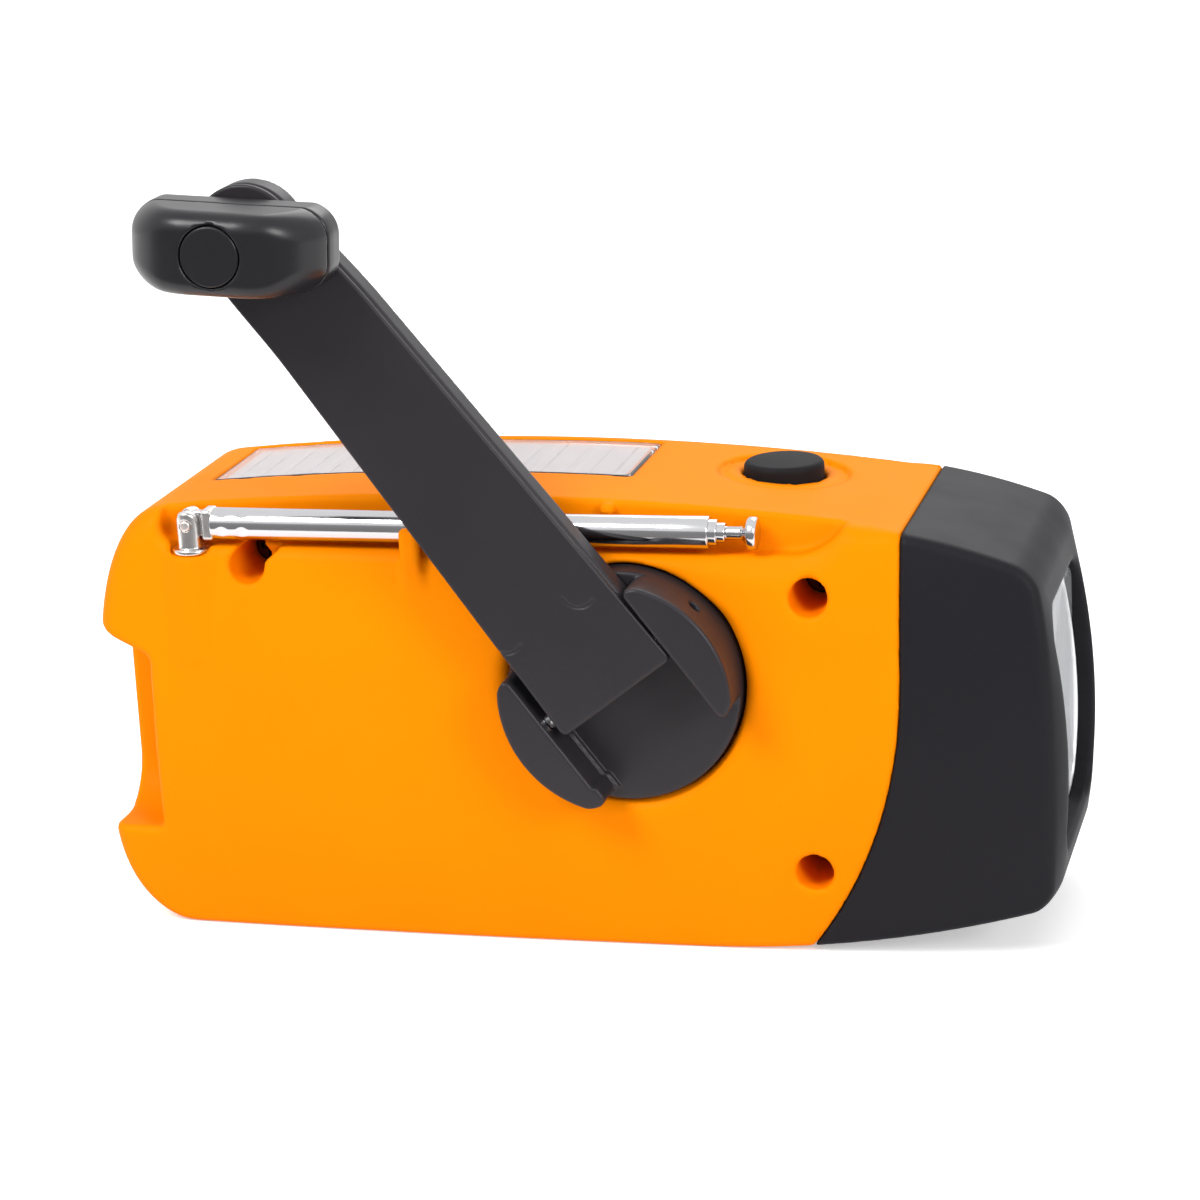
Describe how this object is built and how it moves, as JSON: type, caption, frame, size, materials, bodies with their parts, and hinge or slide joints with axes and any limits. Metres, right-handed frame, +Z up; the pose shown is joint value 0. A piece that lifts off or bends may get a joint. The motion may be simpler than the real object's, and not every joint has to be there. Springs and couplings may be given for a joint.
{
  "type": "solar crank radio",
  "caption": "Palm-size emergency radio with a solar window on top, a fold-out geared hand crank, a telescopic antenna, a speaker side with knobs and a lamp in its head.",
  "frame": {"origin": "middle of the flat base, 0.2 mm ahead of the middle of the body's length", "axes": "+X along the body towards the lamp head, +Y towards the speaker side away from the crank, +Z up"},
  "size_m": [0.1248, 0.064, 0.099],
  "materials": {
    "orange_plastic": "satin moulded plastic",
    "soft_black": "matt soft-touch plastic",
    "black_plastic": "smooth black plastic",
    "chrome": "polished plating",
    "steel": "plain steel",
    "dark_steel": "blackened steel",
    "brass": "plain",
    "clear_lens": "clear",
    "clear_window": "clear plastic",
    "reflector": "vacuum plated",
    "led_resin": "clear resin",
    "cell_dark": "coated cell",
    "board_green": "lacquered board",
    "battery_sleeve": "shrink sleeve",
    "white_plastic": "moulded gear plastic",
    "cone_paper": "pressed paper",
    "ferrite": "sintered",
    "copper_wire": "lacquered wire",
    "cover_rubber": "soft"
  },
  "bodies": {
    "housing": {"rear_housing": "orange_plastic", "front_cover": "orange_plastic", "lamp_head": "soft_black", "lamp_lens": "clear_lens", "lamp_reflector": "reflector", "lamp_leds": "led_resin", "lamp_board": "board_green", "solar_window": "clear_window", "solar_cell": "cell_dark", "case_screws": "dark_steel", "bearing_bush": "brass", "gear_plate": "steel", "gear_plate_screws": "steel", "idler_axle": "steel", "generator_can": "steel", "battery_pack": "battery_sleeve", "main_board": "board_green", "main_board_screws": "steel", "tuning_capacitor": "white_plastic", "volume_pot": "steel", "band_switch": "steel", "switch_board": "board_green", "lamp_switch": "black_plastic", "speaker_frame": "steel", "speaker_cone": "cone_paper", "speaker_magnet": "ferrite", "ferrite_rod": "ferrite", "antenna_coil": "copper_wire", "port_board": "board_green", "charge_socket": "steel", "phone_jack": "black_plastic", "antenna_post": "chrome", "antenna_hinge_pin": "chrome", "antenna_contact": "brass"},
    "crank_hub": {"crank_hub": "soft_black", "arm_hinge_pin": "steel", "crank_shaft": "steel", "shaft_clip": "steel", "drive_gear": "white_plastic"},
    "idler": {"idler_gear": "white_plastic"},
    "rotor": {"generator_rotor": "ferrite", "rotor_pinion": "brass"},
    "crank_arm": {"crank_arm": "soft_black", "arm_cover": "soft_black", "knob_axle": "steel"},
    "knob": {"knob_grip": "soft_black", "knob_back": "soft_black", "knob_cap": "black_plastic"},
    "antenna_tube": {"antenna_tongue": "chrome", "antenna_tube": "chrome"},
    "antenna_section_2": {"antenna_section_2": "chrome"},
    "antenna_section_3": {"antenna_section_3": "chrome"},
    "antenna_tip": {"antenna_tip": "chrome"},
    "lamp_button": {"lamp_button": "black_plastic"},
    "tuning_knob": {"tuning_knob": "soft_black"},
    "volume_knob": {"volume_knob": "soft_black"},
    "band_slider": {"band_slider": "soft_black"},
    "port_cover": {"port_cover": "cover_rubber"}
  },
  "joints": [
    {"name": "crank_spin", "type": "hinge", "parent": "housing", "child": "crank_hub", "pos_m": [0.0078, -0.016, 0.0352], "axis": [0, -1, 0], "continuous": true},
    {"name": "idler_spin", "type": "hinge", "parent": "housing", "child": "idler", "pos_m": [-0.01219, -0.01, 0.03167], "axis": [0, -1, 0], "continuous": true},
    {"name": "rotor_spin", "type": "hinge", "parent": "housing", "child": "rotor", "pos_m": [-0.02497, 0, 0.02273], "axis": [0, -1, 0], "continuous": true},
    {"name": "arm_fold", "type": "hinge", "parent": "crank_hub", "child": "crank_arm", "pos_m": [0.00642, -0.02375, 0.03704], "axis": [0.7986, 0, 0.6018], "range_deg": [0, 180]},
    {"name": "knob_spin", "type": "hinge", "parent": "crank_arm", "child": "knob", "pos_m": [-0.03535, -0.034, 0.09246], "axis": [0, -1, 0], "continuous": true},
    {"name": "antenna_tilt", "type": "hinge", "parent": "housing", "child": "antenna_tube", "pos_m": [-0.04925, -0.0162, 0.054], "axis": [0, -1, 0], "range_deg": [0, 90]},
    {"name": "section_2_slide", "type": "slide", "parent": "antenna_tube", "child": "antenna_section_2", "axis": [1, 0, 0], "range_m": [0, 0.0521]},
    {"name": "section_3_slide", "type": "slide", "parent": "antenna_section_2", "child": "antenna_section_3", "axis": [1, 0, 0], "range_m": [0, 0.0521]},
    {"name": "tip_slide", "type": "slide", "parent": "antenna_section_3", "child": "antenna_tip", "axis": [1, 0, 0], "range_m": [0, 0.0521]},
    {"name": "lamp_press", "type": "slide", "parent": "housing", "child": "lamp_button", "axis": [0, 0, -1], "range_m": [0, 0.0012], "stiffness_N_per_m": 800},
    {"name": "tuning_turn", "type": "hinge", "parent": "housing", "child": "tuning_knob", "pos_m": [0.017, 0.022, 0.03], "axis": [0, 1, 0], "range_deg": [-135, 135]},
    {"name": "volume_turn", "type": "hinge", "parent": "housing", "child": "volume_knob", "pos_m": [-0.004, 0.022, 0.017], "axis": [0, 1, 0], "range_deg": [-135, 135]},
    {"name": "band_slide", "type": "slide", "parent": "housing", "child": "band_slider", "axis": [1, 0, 0], "range_m": [-0.003, 0.003]},
    {"name": "port_open", "type": "hinge", "parent": "housing", "child": "port_cover", "pos_m": [-0.0619, 0.0149, 0.026], "axis": [0, 0, -1], "range_deg": [0, 110]}
  ],
  "couplings": [
    {"joint": "idler_spin", "follows": "crank_spin", "ratio": -3.8333},
    {"joint": "rotor_spin", "follows": "crank_spin", "ratio": 12.778},
    {"joint": "section_2_slide", "follows": "antenna_tilt", "m_per_rad": 0.033104},
    {"joint": "section_3_slide", "follows": "antenna_tilt", "m_per_rad": 0.033104},
    {"joint": "tip_slide", "follows": "antenna_tilt", "m_per_rad": 0.033104}
  ]
}
